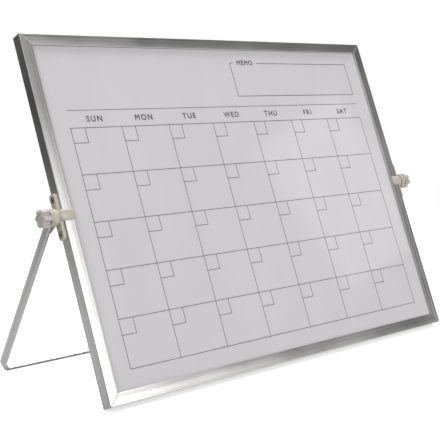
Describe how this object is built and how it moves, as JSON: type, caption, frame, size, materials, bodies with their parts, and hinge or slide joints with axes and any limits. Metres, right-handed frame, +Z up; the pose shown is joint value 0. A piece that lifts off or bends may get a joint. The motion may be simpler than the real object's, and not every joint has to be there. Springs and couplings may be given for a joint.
{
  "type": "magnetic desk whiteboard easel",
  "caption": "Framed magnetic dry-erase board with a month grid, leaning on a U-shaped bar stand that pivots on side brackets and is clamped by hand knobs.",
  "frame": {"origin": "on the floor, midway between the left and right knobs and midway between the board's front bottom edge and the back of the stand", "axes": "+X to the right along the pivot, +Y towards the stand behind the board, +Z up; the board leans back 23 degrees"},
  "size_m": [0.4362, 0.1532, 0.2799],
  "materials": {
    "satin_aluminium": "satin anodised, drawn lines along the bar",
    "white_front": "gloss coated steel, dry-erase, with a printed month grid",
    "white_back": "gloss coated steel, dry-erase, plain",
    "core": "raw board",
    "ivory_plastic": "satin moulded",
    "knob_plastic": "milky moulded",
    "key_steel": "zinc plated",
    "screw_steel": "zinc plated",
    "bolt_steel": "zinc plated",
    "washer_steel": "zinc plated",
    "nut_steel": "zinc plated",
    "black_rubber": "matt"
  },
  "bodies": {
    "board": {"top_rail": "satin_aluminium", "bottom_rail": "satin_aluminium", "left_rail": "satin_aluminium", "right_rail": "satin_aluminium", "top_left_corner_key": "key_steel", "top_right_corner_key": "key_steel", "bottom_left_corner_key": "key_steel", "bottom_right_corner_key": "key_steel", "front_writing_sheet": "white_front", "core_board": "core", "back_writing_sheet": "white_back", "left_bracket": "ivory_plastic", "left_bracket_screws": "screw_steel", "left_pivot_bolt": "bolt_steel", "left_friction_washer": "black_rubber", "right_bracket": "ivory_plastic", "right_bracket_screws": "screw_steel", "right_pivot_bolt": "bolt_steel", "right_friction_washer": "black_rubber"},
    "stand": {"stand_bar": "satin_aluminium", "left_leg_hub": "ivory_plastic", "right_leg_hub": "ivory_plastic"},
    "left_clamp_washer": {"left_clamp_washer": "washer_steel"},
    "left_knob": {"left_knob": "knob_plastic", "left_knob_nut": "nut_steel"},
    "right_clamp_washer": {"right_clamp_washer": "washer_steel"},
    "right_knob": {"right_knob": "knob_plastic", "right_knob_nut": "nut_steel"}
  },
  "joints": [
    {"name": "stand_swing", "type": "hinge", "parent": "board", "child": "stand", "pos_m": [0, -0.01327, 0.13996], "axis": [1, 0, 0], "continuous": true},
    {"name": "left_clamp_travel", "type": "slide", "parent": "board", "child": "left_clamp_washer", "axis": [-1, 0, 0], "range_m": [0, 0.0014]},
    {"name": "left_knob_turn", "type": "hinge", "parent": "left_clamp_washer", "child": "left_knob", "pos_m": [-0.2111, -0.01327, 0.13996], "axis": [-1, 0, 0], "range_deg": [0, 720]},
    {"name": "right_clamp_travel", "type": "slide", "parent": "board", "child": "right_clamp_washer", "axis": [1, 0, 0], "range_m": [0, 0.0014]},
    {"name": "right_knob_turn", "type": "hinge", "parent": "right_clamp_washer", "child": "right_knob", "pos_m": [0.2111, -0.01327, 0.13996], "axis": [1, 0, 0], "range_deg": [0, 720]}
  ],
  "couplings": [
    {"joint": "left_knob_turn", "follows": "left_clamp_travel", "rad_per_m": 8976},
    {"joint": "right_knob_turn", "follows": "right_clamp_travel", "rad_per_m": 8976}
  ]
}
